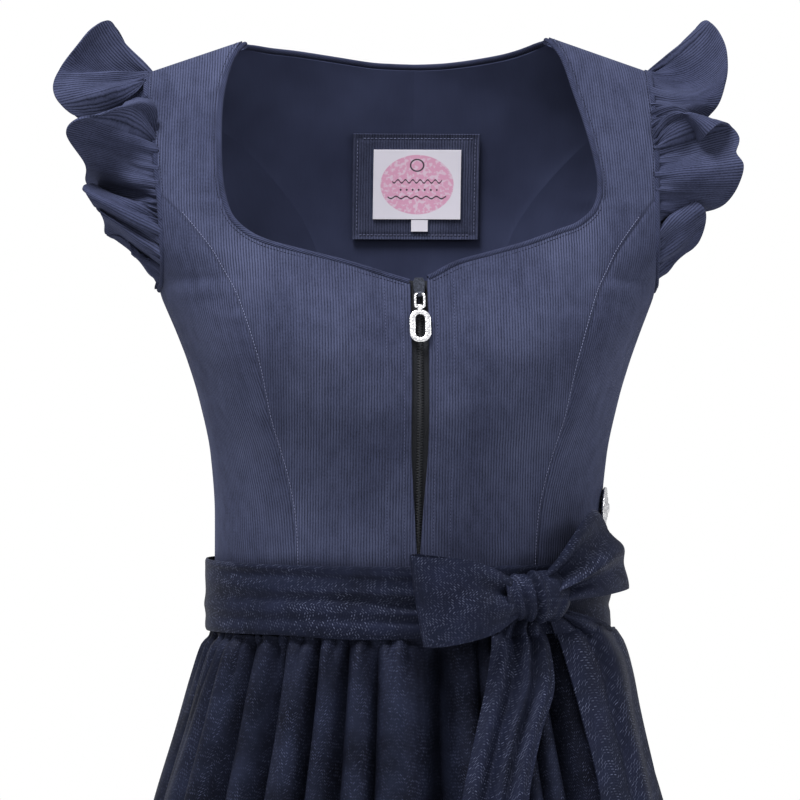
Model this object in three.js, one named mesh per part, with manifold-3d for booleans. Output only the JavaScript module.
// Front-zipped dirndl with ruffled armholes, a gathered skirt and an apron whose strings end in a bow.
// Millimetres, +Z up. The origin lies midway between the shoulder seams, on the shoulder line.
// The front of the dress faces -Y. Left and right are the wearer's, so left is +X.
import * as THREE from "three";
import { mergeVertices } from "three/addons/utils/BufferGeometryUtils.js";
import Module from "manifold-3d";

const wasm = await Module();
wasm.setup();

// ---------- Driving sizes ----------
const CORDUROY = 1.6; // wall of the bodice panels
const LINING_CLOTH = 1.0;
const SATIN = 1.5; // wall of the apron, its strings and the bow
const SKIRT_CLOTH = 1.5;
const SEAM_GAP = 0.3;
const LAYER_GAP = 0.4; // between cloths that lie on each other
const HALF_SEAM = 0.25; // sideways shift of each panel edge at a seam
const SECTION_POWER = 2.3; // superellipse exponent of the body sections
const QUARTER = Math.PI / 2;

const SHOULDER_SEAM_DROP = 0.07;
const UNDERARM_DROP = 157;
const WAIST_DROP = 360;
const HEM_DROP = 1010;
const APRON_HEM_DROP = 975;
const EDGE_ROLL = 3.2; // width of the neckline binding and the armhole piping
const EDGE_ROLL_DEPTH = 2.6;

const NECK_POINT_X = 97; // inner and outer ends of a shoulder seam
const SHOULDER_POINT_X = 167;
const NECK_POINT_RISE = 12;
const SHOULDER_SLOPE_FADE = 150; // drop at which the sloping shoulder has faded out
// The back hangs this far towards the left, fully so between two drops.
const BACK_SWAY = { shift: 10, fullFrom: 40, fullTo: 150, gone: 220 };
const SIDE_SEAM_REACH = 90; // reach of the body in front of and behind the side seam

const BUST = { x: 82, drop: 186, fullness: 4, spreadX: 34, spreadDrop: 30 };
const BUST_VALLEY = { depth: 8, drop: 195, spreadX: 32, spreadDrop: 36 };

const APRON_EDGE_ANGLE = THREE.MathUtils.degToRad(86);
// Cloths round the waist: drops of their edges and lift of their inner face off the waist.
const TIE = { top: 338, bottom: 382, lift: 4.8 };
const APRON_BAND = { top: 341, bottom: 385, lift: 2.8 };
const APRON = { top: 383, lift: 0.7, rightEdge: -86.5, leftEdge: 84 };

// Sections of the worn bodice, one row per drop below the shoulder line: half width, reach of the
// front and of the back from the axis, and how far the axis lies behind the shoulders.
const SECTIONS = [
  { drop: 0, side: 230, front: 0, back: 0, axis: 0 },
  { drop: 1, side: 229.5, front: 7, back: 7, axis: 0 },
  { drop: 4, side: 228.5, front: 14, back: 14, axis: 0 },
  { drop: 12, side: 226, front: 24, back: 24, axis: 1 },
  { drop: 30, side: 222, front: 38, back: 40, axis: 2 },
  { drop: 60, side: 215, front: 55, back: 60, axis: 8 },
  { drop: 100, side: 200, front: 74, back: 82, axis: 18 },
  { drop: 130, side: 184, front: 87, back: 94, axis: 25 },
  { drop: 150, side: 168, front: 95, back: 100, axis: 30 },
  { drop: 168, side: 161.4, front: 103, back: 102, axis: 32 },
  { drop: 186, side: 153.8, front: 109, back: 103, axis: 34 },
  { drop: 205, side: 146.5, front: 112, back: 103, axis: 35 },
  { drop: 232, side: 138.3, front: 110, back: 100, axis: 35 },
  { drop: 269, side: 130.7, front: 99, back: 94, axis: 35 },
  { drop: 306, side: 127.7, front: 91, back: 88, axis: 35 },
  { drop: 337, side: 127.5, front: 88, back: 86.5, axis: 35 },
  { drop: 360, side: 127.5, front: 87, back: 88, axis: 35 },
];

// Skirt sections below the waist seam, and how deep its gathers fold inwards there.
const SKIRT_SECTIONS = [
  { drop: 360.4, side: 127.3, front: 87, back: 88, fold: 0.6 },
  { drop: 385.5, side: 127.6, front: 87.2, back: 88.2, fold: 1 },
  { drop: 392, side: 133.5, front: 93, back: 95, fold: 4 },
  { drop: 408, side: 140, front: 100, back: 103, fold: 7 },
  { drop: 445, side: 151.5, front: 112, back: 116, fold: 9 },
  { drop: 491, side: 166, front: 126, back: 132, fold: 10 },
  { drop: 620, side: 199, front: 158, back: 166, fold: 13 },
  { drop: 800, side: 242, front: 200, back: 208, fold: 17 },
  { drop: APRON_HEM_DROP, side: 278, front: 236, back: 244, fold: 20 },
  { drop: HEM_DROP, side: 285, front: 242, back: 250, fold: 21 },
];

// Gather folds round the skirt: the angle from the centre front in degrees, left positive, how deep
// each trough is next to the others, and its half width in degrees.
const FOLDS = [
  { angle: -172, depth: 0.9, width: 4.5 }, { angle: -158, depth: 0.7, width: 3.6 },
  { angle: -146, depth: 1.0, width: 4.2 }, { angle: -133, depth: 0.8, width: 4.0 },
  { angle: -121, depth: 0.6, width: 3.4 }, { angle: -108, depth: 0.9, width: 4.4 },
  { angle: -95, depth: 0.6, width: 3.8 }, { angle: -78, depth: 0.35, width: 4.0 },
  { angle: -65, depth: 0.5, width: 3.4 }, { angle: -52, depth: 1.0, width: 3.8 },
  { angle: -38.5, depth: 0.9, width: 3.8 }, { angle: -25.5, depth: 0.8, width: 3.0 },
  { angle: -16, depth: 0.6, width: 2.4 }, { angle: -8, depth: 0.7, width: 2.4 },
  { angle: 5, depth: 1.0, width: 4.0 }, { angle: 17, depth: 0.8, width: 3.2 },
  { angle: 27, depth: 0.5, width: 2.6 }, { angle: 38, depth: 1.2, width: 4.2 },
  { angle: 51, depth: 0.8, width: 3.6 }, { angle: 63, depth: 0.7, width: 3.6 },
  { angle: 76, depth: 0.8, width: 4.0 }, { angle: 92, depth: 0.7, width: 3.6 },
  { angle: 105, depth: 1.0, width: 4.4 }, { angle: 118, depth: 0.7, width: 3.6 },
  { angle: 130, depth: 0.9, width: 4.0 }, { angle: 144, depth: 0.8, width: 4.4 },
  { angle: 159, depth: 1.0, width: 4.0 },
];

// Front neckline from the neck point to the top of the zip, as distance from the centre and drop.
const NECKLINE = {
  left: [
    { x: 95, drop: 0 }, { x: 102.5, drop: 12 }, { x: 109, drop: 32 }, { x: 117.5, drop: 62 },
    { x: 121.5, drop: 90 }, { x: 117.5, drop: 106 }, { x: 106, drop: 117 }, { x: 93, drop: 122.5 },
    { x: 70, drop: 131 }, { x: 46, drop: 137.5 }, { x: 24, drop: 143 }, { x: 5.6, drop: 151 },
  ],
  right: [
    { x: 106, drop: 0 }, { x: 115, drop: 12 }, { x: 121.5, drop: 32 }, { x: 124, drop: 62 },
    { x: 123, drop: 93 }, { x: 118, drop: 112 }, { x: 109, drop: 122 }, { x: 97.5, drop: 128.5 },
    { x: 72, drop: 136 }, { x: 47, drop: 142 }, { x: 28, drop: 147 }, { x: 5.6, drop: 153.5 },
  ],
};
// Back neckline from the neck point to the centre back.
const BACK_NECKLINE = {
  left: [{ x: 95, drop: 0 }, { x: 85, drop: 7 }, { x: 68, drop: 16 }, { x: 45, drop: 25 },
    { x: 24, drop: 31 }, { x: 0, drop: 33.5 }],
  right: [{ x: 106, drop: 0 }, { x: 94, drop: 6.5 }, { x: 74, drop: 14 }, { x: 50, drop: 23 },
    { x: 27, drop: 30.5 }, { x: 0, drop: 33.5 }],
};
// Front armhole edge from the shoulder down to where the princess seam starts, then to the underarm.
const ARMHOLE = {
  left: {
    strap: [{ x: 166, drop: 0 }, { x: 165.5, drop: 13 }, { x: 166.3, drop: 38 },
      { x: 166, drop: 59 }, { x: 164.5, drop: 80 }, { x: 163.5, drop: 96 }],
    under: [{ x: 163.5, drop: 96 }, { x: 163, drop: 124 }, { x: 163.2, drop: 143 }],
  },
  right: {
    strap: [{ x: 173.5, drop: 0 }, { x: 174, drop: 16 }, { x: 172, drop: 38 },
      { x: 169.5, drop: 59 }, { x: 168, drop: 80 }, { x: 166.5, drop: 94 }],
    under: [{ x: 166.5, drop: 94 }, { x: 165.3, drop: 124 }, { x: 164.6, drop: 143 }],
  },
};
// Back armhole edge, the same way down; the back princess seam starts high on the shoulder blade.
const BACK_ARMHOLE = {
  left: {
    strap: [{ x: 166, drop: 0 }, { x: 160, drop: 12 }, { x: 155, drop: 30 }],
    under: [{ x: 155, drop: 30 }, { x: 151, drop: 60 }, { x: 151, drop: 95 }, { x: 155, drop: 125 },
      { x: 160.5, drop: 145 }],
  },
  right: {
    strap: [{ x: 173.5, drop: 0 }, { x: 165, drop: 12 }, { x: 157, drop: 30 }],
    under: [{ x: 157, drop: 30 }, { x: 152, drop: 60 }, { x: 152, drop: 95 }, { x: 156, drop: 125 },
      { x: 161, drop: 145 }],
  },
};
// Princess seams below the armhole, the same on both sides of the dress.
const FRONT_PRINCESS = [
  { x: 153, drop: 107 }, { x: 142, drop: 122 }, { x: 133, drop: 135 }, { x: 126.5, drop: 147 },
  { x: 119.5, drop: 160 }, { x: 114, drop: 175 }, { x: 108, drop: 194 }, { x: 103.5, drop: 210 },
  { x: 96, drop: 245 }, { x: 90, drop: 264 }, { x: 85, drop: 282 }, { x: 80.5, drop: 306 },
  { x: 78, drop: 359.6 },
];
const BACK_PRINCESS = [
  { x: 139, drop: 42 }, { x: 122, drop: 56 }, { x: 107, drop: 72 }, { x: 93, drop: 88.5 },
  { x: 80, drop: 105 }, { x: 70, drop: 121 }, { x: 62, drop: 142 }, { x: 57, drop: 170 },
  { x: 52, drop: 215 }, { x: 48, drop: 265 }, { x: 44, drop: 359.6 },
];
// Edge of each front beside the zip: the zip shows widest at the top and closes towards the waist.
const ZIP_EDGE = [
  { x: 5.4, drop: 154 }, { x: 5.4, drop: 215 }, { x: 5.4, drop: 263 }, { x: 3, drop: 300 },
  { x: 1.2, drop: 330 }, { x: 0.8, drop: 359.6 },
];

// Ruffles, one row per place along the armhole, from the front underarm (0) over the shoulder (0.5)
// to the back underarm (1): how far the ruffle reaches from the seam.
const RUFFLE_REACH = {
  left: [{ at: 0, reach: 5 }, { at: 0.08, reach: 24 }, { at: 0.17, reach: 38 }, { at: 0.28, reach: 50 },
    { at: 0.4, reach: 50 }, { at: 0.5, reach: 47 }, { at: 0.62, reach: 50 }, { at: 0.78, reach: 42 },
    { at: 0.9, reach: 24 }, { at: 1, reach: 5 }],
  right: [{ at: 0, reach: 5 }, { at: 0.08, reach: 18 }, { at: 0.17, reach: 34 }, { at: 0.28, reach: 46 },
    { at: 0.4, reach: 60 }, { at: 0.5, reach: 63 }, { at: 0.62, reach: 56 }, { at: 0.78, reach: 42 },
    { at: 0.9, reach: 22 }, { at: 1, reach: 5 }],
};
const RUFFLE = {
  folds: 9, stations: 36, rows: 3, wave: 7.5, fullWaveReach: 30, rise: 150, droop: 14, standOff: 2.6,
  unevenness: 0.8, unevenTurns: 9,
};

// Bow loops: each row is one crease-free section of the folded string, from the knot out along the
// back layer, round the end and home along the front layer, given by its upper and lower corner.
const BOW_LOOP_RIGHT = [
  { upper: [64, -131, -349], lower: [64, -131, -364] },
  { upper: [44, -132, -341], lower: [46, -132, -373] },
  { upper: [24, -134.5, -333], lower: [27, -134.5, -383] },
  { upper: [5, -135.5, -330], lower: [10, -135.5, -387] },
  { upper: [-5, -140, -329], lower: [4, -140, -388] },
  { upper: [-6, -147, -330], lower: [2, -147, -388] },
  { upper: [4, -153, -331], lower: [10, -153, -388] },
  { upper: [26, -155, -332], lower: [28, -155, -385] },
  { upper: [45, -149, -339], lower: [46, -149, -375] },
  { upper: [66, -139, -350], lower: [66, -139, -364] },
];
const BOW_LOOP_LEFT = [
  { upper: [80, -118, -347], lower: [88, -118, -362] },
  { upper: [88, -116, -335], lower: [104, -106, -359] },
  { upper: [99, -108, -318], lower: [124, -85, -358] },
  { upper: [107, -101, -306], lower: [138, -70, -357] },
  { upper: [112, -104, -302], lower: [145, -70, -355] },
  { upper: [113, -112, -303], lower: [147, -78, -354] },
  { upper: [108, -122, -307], lower: [141, -90, -355] },
  { upper: [98, -132, -319], lower: [124, -112, -357] },
  { upper: [86, -134, -336], lower: [102, -126, -359] },
  { upper: [76, -131, -348], lower: [86, -130, -363] },
];
const BOW_KNOT = { at: [76.5, -128.6, -357], halfWidth: 20, halfDepth: 11.6, halfHeight: 17, turn: 25 };
// Hanging ends of the strings: inner and outer edge, and height over the skirt, at each drop.
const BOW_TAIL_RIGHT = [
  { drop: 364, inner: 66, outer: 80, lift: 13 }, { drop: 376, inner: 55, outer: 80, lift: 12.5 },
  { drop: 392, inner: 48, outer: 86, lift: 10 }, { drop: 414, inner: 43, outer: 88, lift: 8 },
  { drop: 445, inner: 35, outer: 78, lift: 7 }, { drop: 486, inner: 25, outer: 68, lift: 6.5 },
  { drop: 540, inner: 17, outer: 63, lift: 6.5 }, { drop: 600, inner: 14, outer: 60, lift: 6.5 },
  { drop: 655, inner: 10, outer: 58, lift: 6.5 },
];
const BOW_TAIL_LEFT = [
  { drop: 365, inner: 84, outer: 94, lift: 11 }, { drop: 375, inner: 88, outer: 124, lift: 11 },
  { drop: 386, inner: 92, outer: 136, lift: 11 }, { drop: 407, inner: 98, outer: 145, lift: 8 },
  { drop: 434, inner: 105, outer: 149, lift: 7 }, { drop: 486, inner: 116, outer: 159, lift: 6.5 },
  { drop: 540, inner: 120, outer: 168, lift: 6.5 }, { drop: 600, inner: 124, outer: 178, lift: 6.5 },
  { drop: 672, inner: 128, outer: 188, lift: 6.5 },
];

const ZIP = { tapeHalf: 13, tapeTop: 153.5, tapeBottom: 345, tapeCloth: 0.9, sliderDrop: 159.5 };
const SLIDER = {
  topWidth: 7.9, bottomWidth: 6, height: 13.4, depth: 3.6, bridgeWidth: 2.6, chamferX: 1.4, chamferZ: 3,
  eyeRise: 1.6,
};
const BAR = 1.4; // side of the square wire of the pull's link
const EYE_HOLE = 1.35; // radius of the holes that the link turns in
const LINK = { width: 7.2, height: 10.4, outerRadius: 1.8, innerRadius: 0.6 };
const EYE_WALL = 0.9;
const PULL = { width: 13.9, height: 22, holeWidth: 6, holeHeight: 15.5, depth: 1.8, eyeWidth: 3.2 };

// Patch, label and size tab inside the back: distance from the centre and height of their edges.
const PATCH = { left: 56, right: -31, top: -49, bottom: -121 };
const LABEL = { left: 43.5, right: -17, top: -59.5, bottom: -107 };
const SIZE_TAB = { left: 21, right: 9.5, top: -107.5, bottom: -115.5 };
const BUTTON = { angle: 80, drop: 302, lift: 0.2, sides: 14 };
const BUTTON_PROFILE = [
  { radius: 0, height: 0 }, { radius: 9, height: 0 }, { radius: 12.4, height: 0.5 },
  { radius: 14, height: 1.6 }, { radius: 13.2, height: 2.6 }, { radius: 11.4, height: 2.3 },
  { radius: 8, height: 3.2 }, { radius: 4, height: 3.8 }, { radius: 2.6, height: 4.9 },
  { radius: 0, height: 5.2 },
];

// ---------- Materials ----------
const fabric = (color, roughness) =>
  new THREE.MeshStandardMaterial({ color, roughness, metalness: 0 });
const metal = (color, roughness) =>
  new THREE.MeshStandardMaterial({ color, roughness, metalness: 1 });
const CORDUROY_BLUE = () => fabric(0x484d69, 0.9);
const LINING_NAVY = () => fabric(0x232735, 0.6);
const SATIN_NAVY = () => fabric(0x2b2f44, 0.5);
const APRON_NAVY = () => fabric(0x232838, 0.6);
const SKIRT_NAVY = () => fabric(0x2b2f40, 0.8);
const TAPE_BLACK = () => fabric(0x15171d, 0.9);
const LABEL_WHITE = () => fabric(0xdbd9e1, 0.6);
const SILVER = () => metal(0xc8c8cc, 0.25);
const DARK_METAL = () => metal(0x33353d, 0.35);

const group = new THREE.Group();

function add(name, geometry, material, parent = group) {
  const mesh = new THREE.Mesh(geometry, material);
  mesh.name = name;
  parent.add(mesh);
  return mesh;
}

// ---------- Reading the tables ----------
// Value of one column at a place, on a smooth curve through the rows that never overshoots them.
function smoothValue(table, key, column, at) {
  const last = table.length - 1;
  const place = THREE.MathUtils.clamp(at, table[0][key], table[last][key]);
  let row = 0;
  while (row < last - 1 && table[row + 1][key] < place) row += 1;
  const chord = (i) => (table[i + 1][column] - table[i][column]) / (table[i + 1][key] - table[i][key]);
  const slope = (i) => {
    if (i === 0) return chord(0);
    if (i === last) return chord(last - 1);
    const before = chord(i - 1);
    const after = chord(i);
    return before * after > 0 ? (2 * before * after) / (before + after) : 0;
  };
  const span = table[row + 1][key] - table[row][key];
  const u = (place - table[row][key]) / span;
  const blend = u * u * (3 - 2 * u);
  return (1 - blend) * table[row][column] + blend * table[row + 1][column]
    + span * (u * (1 - u) * (1 - u) * slope(row) - u * u * (1 - u) * slope(row + 1));
}

const bell = (distance, spread) => Math.exp(-0.5 * (distance / spread) ** 2);
const signedPower = (value, power) => Math.sign(value) * Math.abs(value) ** power;

// ---------- The worn body of the dress ----------
// A place on it is an angle from the centre front, left positive, and a drop below the shoulder line.
function sectionPoint(section, angle, drop) {
  const x = section.side * signedPower(Math.sin(angle), 2 / SECTION_POWER);
  const reach = Math.cos(angle) > 0 ? section.front : section.back;
  const y = section.axis - reach * signedPower(Math.cos(angle), 2 / SECTION_POWER);
  return new THREE.Vector3(x, y, -drop);
}

function bodicePoint(angle, drop) {
  const section = {
    side: smoothValue(SECTIONS, "drop", "side", drop),
    front: smoothValue(SECTIONS, "drop", "front", drop),
    back: smoothValue(SECTIONS, "drop", "back", drop),
    axis: -smoothValue(SECTIONS, "drop", "axis", drop),
  };
  const point = sectionPoint(section, angle, drop);
  const slope = 1 - (2 * (Math.abs(point.x) - NECK_POINT_X)) / (SHOULDER_POINT_X - NECK_POINT_X);
  point.z += NECK_POINT_RISE * slope * Math.max(0, 1 - drop / SHOULDER_SLOPE_FADE);
  const facing = Math.cos(angle);
  if (facing > 0) {
    const cups = bell(Math.abs(point.x) - BUST.x, BUST.spreadX) * bell(drop - BUST.drop, BUST.spreadDrop);
    const below = drop - BUST_VALLEY.drop;
    const valley = bell(point.x, BUST_VALLEY.spreadX) * bell(below, BUST_VALLEY.spreadDrop);
    point.y -= (BUST.fullness * cups - BUST_VALLEY.depth * valley) * Math.min(1, facing * 3);
  } else {
    const fade = (BACK_SWAY.gone - drop) / (BACK_SWAY.gone - BACK_SWAY.fullTo);
    const held = Math.min(1, drop / BACK_SWAY.fullFrom) * THREE.MathUtils.clamp(fade, 0, 1);
    point.x -= BACK_SWAY.shift * facing * held;
  }
  return point;
}

const DEGREE = Math.PI / 180;
function skirtPoint(angle, drop, foldShare = 1) {
  const section = {
    side: smoothValue(SKIRT_SECTIONS, "drop", "side", drop),
    front: smoothValue(SKIRT_SECTIONS, "drop", "front", drop),
    back: smoothValue(SKIRT_SECTIONS, "drop", "back", drop),
    axis: -35,
  };
  const point = sectionPoint(section, angle, drop);
  let trough = 0;
  for (const fold of FOLDS) {
    let away = angle / DEGREE - fold.angle;
    away -= 360 * Math.round(away / 360);
    trough += fold.depth * bell(away, fold.width);
  }
  const depth = trough * foldShare * smoothValue(SKIRT_SECTIONS, "drop", "fold", drop);
  const inward = new THREE.Vector3(-Math.sin(angle), Math.cos(angle), 0);
  return point.addScaledVector(inward, depth);
}

// The point lifted off the surface along its outward normal.
function lifted(surface, angle, drop, lift) {
  const turn = 0.012;
  const fall = 0.6;
  const higher = Math.max(0.02, drop - fall);
  const across = surface(angle + turn, drop).sub(surface(angle - turn, drop));
  const down = surface(angle, drop + fall).sub(surface(angle, higher));
  const normal = down.cross(across).normalize();
  return surface(angle, drop).addScaledVector(normal, lift);
}

// Angle of the bodice place that lies a distance x from the centre, on the front or on the back.
function angleOf(x, drop, onBack = false) {
  const side = smoothValue(SECTIONS, "drop", "side", drop);
  const angle = Math.asin(Math.min(1, Math.abs(x) / side) ** (SECTION_POWER / 2));
  return Math.sign(x || 1) * (onBack ? Math.PI - angle : angle);
}

// ---------- Closed walls from grids ----------
function closedGeometry(points, index) {
  let volume = 0;
  for (let i = 0; i < index.length; i += 3) {
    const [a, b, c] = [points[index[i]], points[index[i + 1]], points[index[i + 2]]];
    volume += a.dot(new THREE.Vector3().crossVectors(b, c));
  }
  if (volume < 0) index.reverse();
  const geometry = new THREE.BufferGeometry();
  const numbers = points.flatMap((point) => point.toArray());
  geometry.setAttribute("position", new THREE.Float32BufferAttribute(numbers, 3));
  geometry.setIndex(index);
  return geometry;
}

// A wall between two grids of the same size. With ring set, the last column joins the first.
function wall(outer, inner, ring = false) {
  const rows = outer.length;
  const cols = outer[0].length;
  const at = (face, row, col) => (face * rows + row) * cols + (col % cols);
  const index = [];
  const quad = (a, b, c, d) => index.push(a, b, c, a, c, d);
  const colSteps = ring ? cols : cols - 1;
  for (let row = 0; row < rows - 1; row += 1) {
    for (let col = 0; col < colSteps; col += 1) {
      quad(at(0, row, col), at(0, row + 1, col), at(0, row + 1, col + 1), at(0, row, col + 1));
      quad(at(1, row, col), at(1, row, col + 1), at(1, row + 1, col + 1), at(1, row + 1, col));
    }
    if (!ring) {
      quad(at(0, row, 0), at(1, row, 0), at(1, row + 1, 0), at(0, row + 1, 0));
      quad(at(0, row + 1, cols - 1), at(1, row + 1, cols - 1), at(1, row, cols - 1), at(0, row, cols - 1));
    }
  }
  for (let col = 0; col < colSteps; col += 1) {
    quad(at(0, 0, col), at(0, 0, col + 1), at(1, 0, col + 1), at(1, 0, col));
    quad(at(0, rows - 1, col + 1), at(0, rows - 1, col), at(1, rows - 1, col), at(1, rows - 1, col + 1));
  }
  return closedGeometry([...outer.flat(), ...inner.flat()], index);
}

// A wall of even thickness on both sides of a free-form grid of points.
function clothOnGrid(grid, thickness) {
  const rows = grid.length;
  const cols = grid[0].length;
  const normalAt = (row, col) => {
    const down = grid[Math.min(rows - 1, row + 1)][col].clone().sub(grid[Math.max(0, row - 1)][col]);
    const across = grid[row][Math.min(cols - 1, col + 1)].clone().sub(grid[row][Math.max(0, col - 1)]);
    return down.cross(across).normalize();
  };
  const shifted = (sign) => grid.map((line, row) => line.map((point, col) =>
    point.clone().addScaledVector(normalAt(row, col), (sign * thickness) / 2)));
  return wall(shifted(1), shifted(-1));
}

// Places between two edges with the same number of points; an edge point is { angle, drop }.
function placesBetween(edgeA, edgeB, cols) {
  return edgeA.map((a, row) => {
    const b = edgeB[row];
    return Array.from({ length: cols + 1 }, (_, col) => ({
      angle: THREE.MathUtils.lerp(a.angle, b.angle, col / cols),
      drop: THREE.MathUtils.lerp(a.drop, b.drop, col / cols),
    }));
  });
}

// The panel that covers these places, its outer face lifted off the surface by lift.
function panel(places, surface, lift, thickness, ring = false) {
  const layer = (height) => places.map((line) =>
    line.map((place) => lifted(surface, place.angle, place.drop, height)));
  return wall(layer(lift), layer(lift - thickness), ring);
}

// Evenly spaced points on a smooth flat curve of { x, drop } rows.
function along(rows, steps) {
  const curve = new THREE.CatmullRomCurve3(
    rows.map((row) => new THREE.Vector3(row.x, row.drop, 0)), false, "centripetal");
  return curve.getSpacedPoints(steps).map((point) => ({ x: point.x, drop: point.y }));
}

// The same edge moved sideways; a positive distance moves it to the left of its run.
function moved(edge, distance) {
  return edge.map((point, i) => {
    const before = edge[Math.max(0, i - 1)];
    const after = edge[Math.min(edge.length - 1, i + 1)];
    const run = Math.hypot(after.x - before.x, after.drop - before.drop);
    if (i === 0 && point.drop === 0) {
      // An edge that starts on the shoulder seam stays on it.
      return { x: point.x + (distance * run) / (after.drop - before.drop), drop: 0 };
    }
    return {
      x: point.x + (distance * (after.drop - before.drop)) / run,
      drop: point.drop - (distance * (after.x - before.x)) / run,
    };
  });
}

function placed(edge, sign, onBack = false, top = SHOULDER_SEAM_DROP) {
  return edge.map(({ x, drop }) => {
    const low = Math.max(top, drop);
    return { angle: angleOf(sign * Math.max(x, 0.001), low, onBack), drop: low };
  });
}

// Places that fill a four-sided panel between edges that meet at its corners.
function placesFilling(top, bottom, left, right) {
  const rows = left.length - 1;
  const cols = top.length - 1;
  const mixed = (key, row, col) => {
    const u = col / cols;
    const v = row / rows;
    const edges = (1 - v) * top[col][key] + v * bottom[col][key]
      + (1 - u) * left[row][key] + u * right[row][key];
    const topCorners = (1 - u) * top[0][key] + u * top[cols][key];
    const bottomCorners = (1 - u) * bottom[0][key] + u * bottom[cols][key];
    return edges - (1 - v) * topCorners - v * bottomCorners;
  };
  return left.map((_, row) => top.map((_point, col) => ({
    angle: mixed("angle", row, col),
    drop: mixed("drop", row, col),
  })));
}

// ---------- Edge rolls: binding and piping ----------
// A roll of elliptical section along a line of { point, normal } frames.
function roll(frames, width, depth, ring = false) {
  const sides = 6;
  const count = frames.length;
  const outline = (frame, i) => {
    const before = frames[ring ? (i + count - 1) % count : Math.max(0, i - 1)].point;
    const after = frames[ring ? (i + 1) % count : Math.min(count - 1, i + 1)].point;
    const run = after.clone().sub(before).normalize();
    const across = run.clone().cross(frame.normal).normalize();
    const up = across.clone().cross(run).normalize();
    return Array.from({ length: sides }, (_, k) => {
      const turn = (2 * Math.PI * (k + 0.5)) / sides;
      return frame.point.clone().addScaledVector(across, (Math.cos(turn) * width) / 2)
        .addScaledVector(up, (Math.sin(turn) * depth) / 2);
    });
  };
  const points = frames.flatMap(outline);
  const index = [];
  for (let i = 0; i < (ring ? count : count - 1); i += 1) {
    for (let k = 0; k < sides; k += 1) {
      const [a, b] = [i * sides + k, i * sides + ((k + 1) % sides)];
      const [c, d] = [((i + 1) % count) * sides + k, ((i + 1) % count) * sides + ((k + 1) % sides)];
      index.push(a, b, d, a, d, c);
    }
  }
  if (!ring) {
    for (let k = 1; k < sides - 1; k += 1) {
      index.push(0, k + 1, k);
      const end = (count - 1) * sides;
      index.push(end, end + k, end + k + 1);
    }
  }
  return closedGeometry(points, index);
}

function frameAt(place, lift) {
  const point = lifted(bodicePoint, place.angle, place.drop, lift);
  const above = lifted(bodicePoint, place.angle, place.drop, lift + 1);
  return { point, normal: above.sub(point) };
}

// ---------- Bodice ----------
const SIDES = { left: 1, right: -1 };
const ROLL_ROOM = EDGE_ROLL + SEAM_GAP + 0.2;
const NECK_STEPS = 11;
const PRINCESS_STEPS = 12;
const STRAP_STEPS = 5;
const UNDERARM_STEPS = 4;
const BACK_STRAP_STEPS = 2;
const BACK_UNDERARM_STEPS = 4;
const BACK_NECK_STEPS = 6;
const FRONT_COLS = 6;
const BACK_COLS = 4;
const ROLL_LIFT = -CORDUROY / 2;
const BINDING_TOP = 0.5; // drop at which the bindings stop short of the shoulder seam

// The edge with its first point moved down its first step, where a panel's narrow top corner is cut.
const CORNER_CUT = 3;
function corneredEdge(edge) {
  const share = CORNER_CUT / Math.hypot(edge[1].x - edge[0].x, edge[1].drop - edge[0].drop);
  const corner = {
    x: THREE.MathUtils.lerp(edge[0].x, edge[1].x, share),
    drop: THREE.MathUtils.lerp(edge[0].drop, edge[1].drop, share),
  };
  return [corner, ...edge.slice(1)];
}

// Places of the panel between a princess seam, the low part of the armhole and the side seam.
const SIDE_SEAM_TURN = Math.asin((HALF_SEAM / SIDE_SEAM_REACH) ** (SECTION_POWER / 2));
function sidePanel(princess, underEdge, sign, onBack) {
  const inner = placed(corneredEdge(moved(princess, HALF_SEAM)), sign, onBack);
  const seamAngle = sign * (QUARTER + (onBack ? SIDE_SEAM_TURN : -SIDE_SEAM_TURN));
  const seamTop = UNDERARM_DROP + ROLL_ROOM;
  const sideSeam = inner.map((_, row) => ({
    angle: seamAngle,
    drop: THREE.MathUtils.lerp(seamTop, WAIST_DROP - SEAM_GAP, row / PRINCESS_STEPS),
  }));
  const armhole = [inner[0], ...placed(corneredEdge(underEdge).slice(0, -1), sign, onBack), sideSeam[0]];
  const waist = armhole.map((_, col) => ({
    angle: THREE.MathUtils.lerp(inner.at(-1).angle, seamAngle, col / (armhole.length - 1)),
    drop: WAIST_DROP - SEAM_GAP,
  }));
  return placesFilling(armhole, waist, inner, sideSeam);
}

const zipDrops = {}; // drops of the points along each front's zip edge

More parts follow.
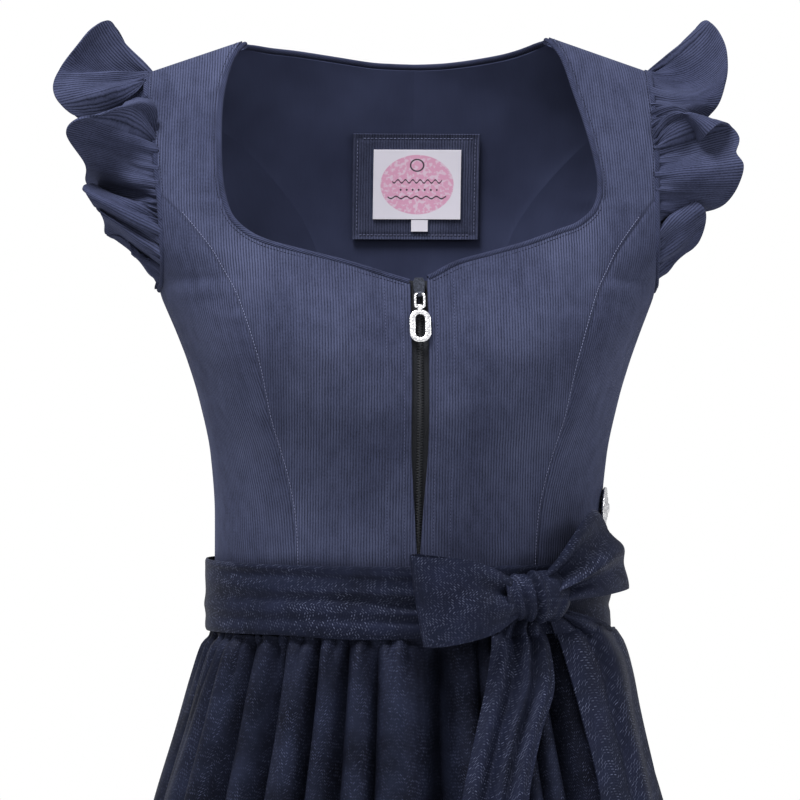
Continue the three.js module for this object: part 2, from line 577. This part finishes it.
for (const [side, sign] of Object.entries(SIDES)) {
  const armhole = ARMHOLE[side];
  const backArmhole = BACK_ARMHOLE[side];
  const underarm = { x: smoothValue(SECTIONS, "drop", "side", UNDERARM_DROP), drop: UNDERARM_DROP };

  // Front: strap, neckline and the strip beside the zip in one piece.
  const neckEdge = moved(along(NECKLINE[side], NECK_STEPS), ROLL_ROOM);
  const zipEdge = along([{ x: ZIP_EDGE[0].x, drop: neckEdge.at(-1).drop + 0.1 }, ...ZIP_EDGE.slice(1)],
    STRAP_STEPS + PRINCESS_STEPS - NECK_STEPS);
  neckEdge[NECK_STEPS] = zipEdge[0];
  const frontInner = [...placed(neckEdge, sign), ...placed(zipEdge.slice(1), sign)];
  const strapEdge = moved(along(armhole.strap, STRAP_STEPS), -ROLL_ROOM);
  const princess = along([strapEdge.at(-1), ...FRONT_PRINCESS], PRINCESS_STEPS);
  const frontOuter = [...placed(strapEdge, sign), ...placed(moved(princess, -HALF_SEAM).slice(1), sign)];
  zipDrops[side] = zipEdge.map((point) => point.drop);
  add(`front_${side}`, panel(placesBetween(frontInner, frontOuter, FRONT_COLS), bodicePoint, 0, CORDUROY),
    CORDUROY_BLUE());

  // Side front: from the princess seam to the side seam, with the low front of the armhole.
  const underEdge = moved(along([...armhole.under, underarm], UNDERARM_STEPS), -ROLL_ROOM);
  add(`side_front_${side}`, panel(sidePanel(princess, underEdge, sign, false), bodicePoint, 0, CORDUROY),
    CORDUROY_BLUE());

  // Side back: from the side seam to the back princess seam.
  const backStrap = moved(along(backArmhole.strap, BACK_STRAP_STEPS), -ROLL_ROOM);
  const backPrincess = along([backStrap.at(-1), ...BACK_PRINCESS], PRINCESS_STEPS);
  const backUnder = moved(along([...backArmhole.under, underarm], BACK_UNDERARM_STEPS), -ROLL_ROOM);
  const sideBack = sidePanel(backPrincess, backUnder, sign, true);
  add(`side_back_${side}`, panel(sideBack, bodicePoint, 0, CORDUROY), CORDUROY_BLUE());
  add(`lining_side_back_${side}`, panel(sideBack, bodicePoint, -CORDUROY - LAYER_GAP, LINING_CLOTH),
    LINING_NAVY());

  // Armhole piping: one ring from the front underarm over the shoulder to the back underarm.
  const pipingFront = [...along(armhole.strap, STRAP_STEPS),
    ...along([...armhole.under, underarm], UNDERARM_STEPS).slice(1)];
  const pipingBack = [...along(backArmhole.strap, BACK_STRAP_STEPS),
    ...along([...backArmhole.under, underarm], BACK_UNDERARM_STEPS).slice(1)];
  const pipingPlaces = [
    ...placed(moved(pipingFront, -EDGE_ROLL / 2), sign).reverse(),
    ...placed(moved(pipingBack, -EDGE_ROLL / 2), sign, true).slice(1, -1),
  ];
  pipingPlaces[0] = { angle: sign * QUARTER, drop: UNDERARM_DROP + EDGE_ROLL / 2 };
  const pipingFrames = pipingPlaces.map((place) => frameAt(place, ROLL_LIFT));
  add(`armhole_piping_${side}`, roll(pipingFrames, EDGE_ROLL, EDGE_ROLL_DEPTH, true), CORDUROY_BLUE());

  // Neckline binding, from the shoulder seam to the top of the zip.
  const bindingEdge = moved(along(NECKLINE[side], NECK_STEPS), EDGE_ROLL / 2);
  const bindingFrames = placed(bindingEdge, sign, false, BINDING_TOP)
    .map((place) => frameAt(place, ROLL_LIFT));
  add(`neck_binding_${side}`, roll(bindingFrames, EDGE_ROLL, EDGE_ROLL_DEPTH), CORDUROY_BLUE());

  // Ruffle: gathered strip that stands out from the piping, highest over the shoulder.
  const seamLine = new THREE.CatmullRomCurve3(pipingFrames.map((frame) => frame.point.clone()));
  const seamPoints = seamLine.getSpacedPoints(RUFFLE.stations + 2).slice(1, -1);
  const rows = seamPoints.map((seat, i) => {
    const at = i / RUFFLE.stations;
    const before = seamPoints[Math.max(0, i - 1)];
    const after = seamPoints[Math.min(RUFFLE.stations, i + 1)];
    const run = after.clone().sub(before).normalize();
    const out = new THREE.Vector3(sign, 0, 0);
    out.addScaledVector(run, -out.dot(run)).normalize();
    const face = out.clone().cross(run).normalize();
    const reach = smoothValue(RUFFLE_REACH[side], "at", "reach", at);
    const crown = Math.sin(Math.PI * at) ** 3;
    const uneven = RUFFLE.unevenness * Math.sin(RUFFLE.unevenTurns * at);
    const wave = RUFFLE.wave * Math.sin(2 * Math.PI * RUFFLE.folds * at + uneven);
    return Array.from({ length: RUFFLE.rows + 1 }, (_, k) => {
      const v = k / RUFFLE.rows;
      const point = seat.clone().addScaledVector(out, RUFFLE.standOff + reach * v);
      point.addScaledVector(face, wave * v ** 0.8 * Math.min(1, reach / RUFFLE.fullWaveReach));
      point.z += crown * (RUFFLE.rise * v * (1 - v) - RUFFLE.droop * v);
      return point;
    });
  });
  add(`ruffle_${side}`, clothOnGrid(rows, CORDUROY), CORDUROY_BLUE());
}

// Centre back: one piece between the back princess seams, up to the shoulder seams.
function centreBackEdge(side) {
  const strap = moved(along(BACK_ARMHOLE[side].strap, BACK_STRAP_STEPS), -ROLL_ROOM);
  const princess = along([strap.at(-1), ...BACK_PRINCESS], PRINCESS_STEPS);
  return [...strap, ...moved(princess, -HALF_SEAM).slice(1)];
}
// Each half of the centre back is a grid from the centre line to its princess seam. Its top row runs
// along the neckline to the neck point and its first column goes down the centre back.
function halfBack(side, sign, neckSteps, cols) {
  const outer = placed(centreBackEdge(side), sign, true);
  const neck = placed(moved(along(BACK_NECKLINE[side], neckSteps), ROLL_ROOM), sign, true);
  const centreDrops = outer.length - 1 - neckSteps;
  const bottom = WAIST_DROP - SEAM_GAP;
  const centre = Array.from({ length: centreDrops }, (_, i) => ({
    angle: sign * Math.PI,
    drop: THREE.MathUtils.lerp(neck.at(-1).drop, bottom, (i + 1) / centreDrops),
  }));
  neck[neckSteps].angle = sign * Math.PI;
  return placesBetween([...neck, ...centre], outer, cols);
}
function centreBack(lift, thickness, cols) {
  const left = halfBack("left", 1, BACK_NECK_STEPS, cols);
  const right = halfBack("right", -1, BACK_NECK_STEPS, cols);
  // The rows above the lowest point of the neckline stay two separate straps.
  const rows = left.length;
  const points = [];
  const index = [];
  const ids = new Map();
  const id = (face, side, row, col) => {
    const shared = col === 0 && row >= BACK_NECK_STEPS;
    const key = `${face} ${shared ? "centre" : side} ${row} ${col}`;
    if (!ids.has(key)) {
      const place = (side === "left" ? left : right)[row][col];
      points.push(lifted(bodicePoint, place.angle, place.drop, face ? lift - thickness : lift));
      ids.set(key, points.length - 1);
    }
    return ids.get(key);
  };
  const quad = (a, b, c, d) => index.push(a, b, c, a, c, d);
  for (const side of ["left", "right"]) {
    const flip = side === "right";
    const face4 = (a, b, c, d) => (flip ? quad(d, c, b, a) : quad(a, b, c, d));
    for (let row = 0; row < rows - 1; row += 1) {
      for (let col = 0; col < cols; col += 1) {
        face4(id(0, side, row, col), id(0, side, row, col + 1), id(0, side, row + 1, col + 1),
          id(0, side, row + 1, col));
        face4(id(1, side, row, col), id(1, side, row + 1, col), id(1, side, row + 1, col + 1),
          id(1, side, row, col + 1));
      }
      face4(id(0, side, row, cols), id(1, side, row, cols), id(1, side, row + 1, cols),
        id(0, side, row + 1, cols));
      if (row < BACK_NECK_STEPS) {
        face4(id(0, side, row + 1, 0), id(1, side, row + 1, 0), id(1, side, row, 0), id(0, side, row, 0));
      }
    }
    for (let col = 0; col < cols; col += 1) {
      face4(id(0, side, 0, col + 1), id(0, side, 0, col), id(1, side, 0, col), id(1, side, 0, col + 1));
      face4(id(0, side, rows - 1, col), id(0, side, rows - 1, col + 1), id(1, side, rows - 1, col + 1),
        id(1, side, rows - 1, col));
    }
  }
  return closedGeometry(points, index);
}
add("back_centre", centreBack(0, CORDUROY, BACK_COLS), CORDUROY_BLUE());
add("lining_back", centreBack(-CORDUROY - LAYER_GAP, LINING_CLOTH, BACK_COLS), LINING_NAVY());

// Back neck binding from one neck point to the other.
const backNeckRun = [
  ...placed(moved(along(BACK_NECKLINE.left, BACK_NECK_STEPS), EDGE_ROLL / 2), 1, true, BINDING_TOP),
  ...placed(moved(along(BACK_NECKLINE.right, BACK_NECK_STEPS), EDGE_ROLL / 2), -1, true, BINDING_TOP)
    .reverse().slice(1),
];
backNeckRun[BACK_NECK_STEPS].angle = Math.PI;
add("neck_binding_back", roll(backNeckRun.map((place) => frameAt(place, ROLL_LIFT)), EDGE_ROLL,
  EDGE_ROLL_DEPTH), CORDUROY_BLUE());

// ---------- Zip ----------
const evenDrops = (top, bottom, rows) =>
  Array.from({ length: rows + 1 }, (_, row) => THREE.MathUtils.lerp(top, bottom, row / rows));

const TAPE_LIFT = -CORDUROY - 2 * LAYER_GAP;
for (const [side, sign] of Object.entries(SIDES)) {
  const drops = [ZIP.tapeTop, ...zipDrops[side].slice(1, -1), ZIP.tapeBottom];
  const edges = [(sign * SEAM_GAP) / 2, sign * ZIP.tapeHalf];
  const places = drops.map((drop) => edges.map((x) => ({ angle: angleOf(x, drop), drop })));
  add(`zip_tape_${side}`, panel(places, bodicePoint, TAPE_LIFT, ZIP.tapeCloth), TAPE_BLACK());
}

const toSolid = (geometry) => {
  const bare = geometry.clone();
  bare.deleteAttribute("normal");
  bare.deleteAttribute("uv");
  const merged = mergeVertices(bare, 1e-4);
  return new wasm.Manifold(new wasm.Mesh({
    numProp: 3,
    vertProperties: new Float32Array(merged.attributes.position.array),
    triVerts: new Uint32Array(merged.index.array),
  }));
};
const toGeometry = (solid) => {
  const mesh = solid.getMesh();
  const geometry = new THREE.BufferGeometry();
  geometry.setAttribute("position", new THREE.Float32BufferAttribute(mesh.vertProperties, 3));
  geometry.setIndex([...mesh.triVerts]);
  return geometry;
};
const joined = (...parts) => toGeometry(parts.map(toSolid).reduce((sum, part) => sum.add(part)));
const cutBy = (geometry, tool) => toGeometry(toSolid(geometry).subtract(toSolid(tool)));

// The slider, its link and the pull share a frame that leans with the centre front: x to the left,
// y into the dress and z up along the zip.
const zipTop = bodicePoint(0, 152);
const zipLower = bodicePoint(0, 202);
const lean = Math.atan2(zipTop.y - zipLower.y, zipTop.z - zipLower.z);
const hardware = new THREE.Group();
hardware.position.copy(bodicePoint(0, ZIP.sliderDrop));
hardware.rotation.x = -lean;
group.add(hardware);

function roundedRectangle(width, height, radius) {
  const [w, h] = [width / 2, height / 2];
  const shape = new THREE.Shape();
  shape.moveTo(-w + radius, -h);
  shape.lineTo(w - radius, -h);
  shape.absarc(w - radius, -h + radius, radius, -QUARTER, 0);
  shape.lineTo(w, h - radius);
  shape.absarc(w - radius, h - radius, radius, 0, QUARTER);
  shape.lineTo(-w + radius, h);
  shape.absarc(-w + radius, h - radius, radius, QUARTER, Math.PI);
  shape.lineTo(-w, -h + radius);
  shape.absarc(-w + radius, -h + radius, radius, Math.PI, 3 * QUARTER);
  return shape;
}
const flatExtrude = (shape, depth, curveSegments) =>
  new THREE.ExtrudeGeometry(shape, { depth, bevelEnabled: false, curveSegments });
// Extruded plates face -y: x stays across, the shape's y becomes z.
const standing = (geometry) => geometry.rotateX(QUARTER);

const sliderShape = new THREE.Shape();
sliderShape.moveTo(-SLIDER.bottomWidth / 2, -SLIDER.height / 2);
sliderShape.lineTo(SLIDER.bottomWidth / 2, -SLIDER.height / 2);
sliderShape.lineTo(SLIDER.topWidth / 2, SLIDER.height / 2 - SLIDER.chamferZ);
sliderShape.lineTo(SLIDER.topWidth / 2 - SLIDER.chamferX, SLIDER.height / 2);
sliderShape.lineTo(-SLIDER.topWidth / 2 + SLIDER.chamferX, SLIDER.height / 2);
sliderShape.lineTo(-SLIDER.topWidth / 2, SLIDER.height / 2 - SLIDER.chamferZ);
const sliderBack = -TAPE_LIFT - 2 * SEAM_GAP; // its back face, just in front of the tapes
const sliderFront = sliderBack - SLIDER.depth;
const eyeRadius = EYE_HOLE + EYE_WALL;
const eyeSink = EYE_WALL - 0.15; // how far the bridge's ring sinks into the slider's face
const bridge = { y: sliderFront - eyeRadius + eyeSink, z: -SLIDER.height / 2 + SLIDER.eyeRise };

// A ring round the x axis, at (y, z), with a hole that the link's bar turns in.
function eye(width, y, z) {
  const ringShape = new THREE.Shape();
  ringShape.absarc(0, 0, eyeRadius, 0, 2 * Math.PI);
  const hole = new THREE.Path();
  hole.absarc(0, 0, EYE_HOLE, 0, 2 * Math.PI, true);
  ringShape.holes.push(hole);
  const geometry = flatExtrude(ringShape, width, 6);
  return geometry.translate(0, 0, -width / 2).rotateY(QUARTER).translate(0, y, z);
}
const sliderBody = standing(flatExtrude(sliderShape, SLIDER.depth, 4)).translate(0, sliderBack, 0);
add("zip_slider", joined(sliderBody, eye(SLIDER.bridgeWidth, bridge.y, bridge.z)), DARK_METAL(), hardware);

// The link is a ring of square wire: its top bar turns in the slider's bridge and its bottom bar
// carries the pull.
const linkTop = bridge.z;
const linkBottom = linkTop - (LINK.height - BAR);
const linkShape = roundedRectangle(LINK.width, LINK.height, LINK.outerRadius);
linkShape.holes.push(roundedRectangle(LINK.width - 2 * BAR, LINK.height - 2 * BAR, LINK.innerRadius));
const linkGeometry = standing(flatExtrude(linkShape, BAR, 2))
  .translate(0, bridge.y + BAR / 2, (linkTop + linkBottom) / 2);
add("zip_link", linkGeometry, SILVER(), hardware);

// The pull is an oval ring on a stem whose eye closes round the link's bottom bar.
const pullShape = roundedRectangle(PULL.width, PULL.height, PULL.width / 2 - 0.6);
pullShape.holes.push(roundedRectangle(PULL.holeWidth, PULL.holeHeight, PULL.holeWidth / 2 - 0.1));
const pullCentre = linkBottom - eyeRadius - PULL.height / 2 + 0.7;
const pullRing = standing(flatExtrude(pullShape, PULL.depth, 3))
  .translate(0, bridge.y + PULL.depth / 2, pullCentre);
add("zip_pull", joined(pullRing, eye(PULL.eyeWidth, bridge.y, linkBottom)), SILVER(), hardware);

// ---------- Patch, label and size tab inside the back ----------
const PATCH_CLOTH = 1.2;
const LABEL_CLOTH = 1;
const PATCH_LIFT = -CORDUROY - LINING_CLOTH - 5 * LAYER_GAP;
const LABEL_LIFT = PATCH_LIFT - PATCH_CLOTH - LAYER_GAP;
const TAG_COLS = 4;
const TAG_ROWS = 3;
// Drop of the place at a distance x from the centre that lies at height z.
function dropAt(x, z) {
  const share = (Math.abs(x) - NECK_POINT_X) / (SHOULDER_POINT_X - NECK_POINT_X);
  const rise = NECK_POINT_RISE * (1 - 2 * share);
  return (rise - z) / (1 + rise / SHOULDER_SLOPE_FADE);
}
function tag({ left, right, top, bottom }, lift, thickness, cols, rows) {
  const places = evenDrops(top, bottom, rows).map((z) => Array.from({ length: cols + 1 }, (_, col) => {
    const x = THREE.MathUtils.lerp(right, left, col / cols) - BACK_SWAY.shift;
    const drop = dropAt(x, z);
    return { angle: angleOf(x || 0.001, drop, true), drop };
  }));
  return panel(places, bodicePoint, lift, thickness);
}
add("label_patch", tag(PATCH, PATCH_LIFT, PATCH_CLOTH, TAG_COLS, TAG_ROWS), CORDUROY_BLUE());
add("label", tag(LABEL, LABEL_LIFT, LABEL_CLOTH, TAG_COLS, TAG_ROWS), LABEL_WHITE());
add("size_tab", tag(SIZE_TAB, LABEL_LIFT, LABEL_CLOTH, 1, 1), LABEL_WHITE());

// ---------- Button at the left side ----------
const buttonAngle = THREE.MathUtils.degToRad(BUTTON.angle);
const buttonSeat = frameAt({ angle: buttonAngle, drop: BUTTON.drop }, BUTTON.lift);
const buttonProfile = BUTTON_PROFILE.map(({ radius, height }) => new THREE.Vector2(radius, height));
const buttonTurned = mergedLathe(new THREE.LatheGeometry(buttonProfile, BUTTON.sides));
const button = add("side_button", buttonTurned, SILVER());
button.position.copy(buttonSeat.point);
button.quaternion.setFromUnitVectors(new THREE.Vector3(0, 1, 0), buttonSeat.normal.clone().normalize());

function mergedLathe(geometry) {
  geometry.deleteAttribute("normal");
  geometry.deleteAttribute("uv");
  return mergeVertices(geometry, 1e-4);
}

// ---------- Skirt and apron ----------
// The gathered cloths crease at each trough and at the ridge midway to the next one.
const foldAngles = FOLDS.map((fold) => fold.angle);
const oneTurn = foldAngles.flatMap((angle, i) => {
  const next = foldAngles[i + 1] ?? foldAngles[0] + 360;
  return [angle, (angle + next) / 2];
});
const creases = [...oneTurn, ...oneTurn.map((angle) => angle + 360)];
const GATHER_DROPS = [360.4, 385.5, 392, 408, 445, 600, APRON_HEM_DROP, HEM_DROP];
function gatheredPlaces(fromDegrees, toDegrees, drops) {
  const between = creases.filter((angle) => angle > fromDegrees && angle < toDegrees);
  const columns = [fromDegrees, ...between, toDegrees];
  return drops.map((drop) => columns.map((angle) => ({ angle: angle * DEGREE, drop })));
}
const SKIRT_SEAM_TURN = 0.02; // degrees between a half skirt's edge and the side seam
const SKIRT_EDGE = 90 - SKIRT_SEAM_TURN;
add("skirt_front", panel(gatheredPlaces(-SKIRT_EDGE, SKIRT_EDGE, GATHER_DROPS), skirtPoint, 0,
  SKIRT_CLOTH), SKIRT_NAVY());
add("skirt_back", panel(gatheredPlaces(180 - SKIRT_EDGE, 180 + SKIRT_EDGE, GATHER_DROPS), skirtPoint,
  0, SKIRT_CLOTH), SKIRT_NAVY());
const apronDrops = [APRON.top, ...GATHER_DROPS.slice(1, -1)];
add("apron", panel(gatheredPlaces(APRON.rightEdge, APRON.leftEdge, apronDrops), skirtPoint,
  APRON.lift + SATIN, SATIN), APRON_NAVY());

// ---------- Apron band and waist tie ----------
// Below the waist seam the bands hang straight down from the waist section.
const waistPoint = (angle, drop) => {
  const point = bodicePoint(angle, Math.min(drop, WAIST_DROP));
  point.z = -drop;
  return point;
};
const bandPlaces = (from, to, cols, { top, bottom }) => evenDrops(top, bottom, 2).map((drop) =>
  Array.from({ length: cols + 1 }, (_, col) => ({
    angle: THREE.MathUtils.lerp(from, to, col / cols),
    drop,
  })));
const APRON_BAND_COLS = 20;
const TIE_COLS = 40;
const apronBandPlaces = bandPlaces(-APRON_EDGE_ANGLE, APRON_EDGE_ANGLE, APRON_BAND_COLS, APRON_BAND);
add("apron_band", panel(apronBandPlaces, waistPoint, APRON_BAND.lift + SATIN, SATIN), SATIN_NAVY());
const tiePlaces = bandPlaces(-Math.PI, Math.PI, TIE_COLS, TIE).map((row) => row.slice(0, -1));
add("waist_tie", panel(tiePlaces, waistPoint, TIE.lift + SATIN, SATIN, true), SATIN_NAVY());

// ---------- Bow ----------
const knotTool = (grow) => {
  const knot = new THREE.SphereGeometry(1, 12, 7);
  knot.scale(BOW_KNOT.halfWidth + grow, BOW_KNOT.halfDepth + grow, BOW_KNOT.halfHeight + grow);
  knot.rotateZ(THREE.MathUtils.degToRad(BOW_KNOT.turn));
  knot.translate(...BOW_KNOT.at);
  return mergedLathe(knot);
};
add("bow_knot", knotTool(0), SATIN_NAVY());

function loopGrid(rows, cols) {
  return rows.map(({ upper, lower }) => {
    const [a, b] = [new THREE.Vector3(...upper), new THREE.Vector3(...lower)];
    return Array.from({ length: cols + 1 }, (_, col) => a.clone().lerp(b, col / cols));
  });
}
add("bow_loop_right", cutBy(clothOnGrid(loopGrid(BOW_LOOP_RIGHT, 3), SATIN), knotTool(SEAM_GAP)),
  SATIN_NAVY());
add("bow_loop_left", cutBy(clothOnGrid(loopGrid(BOW_LOOP_LEFT, 3), SATIN), knotTool(SEAM_GAP)),
  SATIN_NAVY());

function tailGrid(rows, cols) {
  return rows.map(({ drop, inner, outer, lift }) => {
    const side = smoothValue(SKIRT_SECTIONS, "drop", "side", drop);
    const angleAt = (x) => Math.asin(Math.min(1, x / (side + lift)) ** (SECTION_POWER / 2));
    return Array.from({ length: cols + 1 }, (_, col) => {
      const angle = THREE.MathUtils.lerp(angleAt(inner), angleAt(outer), col / cols);
      return lifted((a, d) => skirtPoint(a, d, 0), angle, drop, lift);
    });
  });
}
add("bow_tail_right", cutBy(clothOnGrid(tailGrid(BOW_TAIL_RIGHT, 4), SATIN), knotTool(SEAM_GAP)),
  SATIN_NAVY());
add("bow_tail_left", cutBy(clothOnGrid(tailGrid(BOW_TAIL_LEFT, 4), SATIN), knotTool(SEAM_GAP)),
  SATIN_NAVY());

export default group;
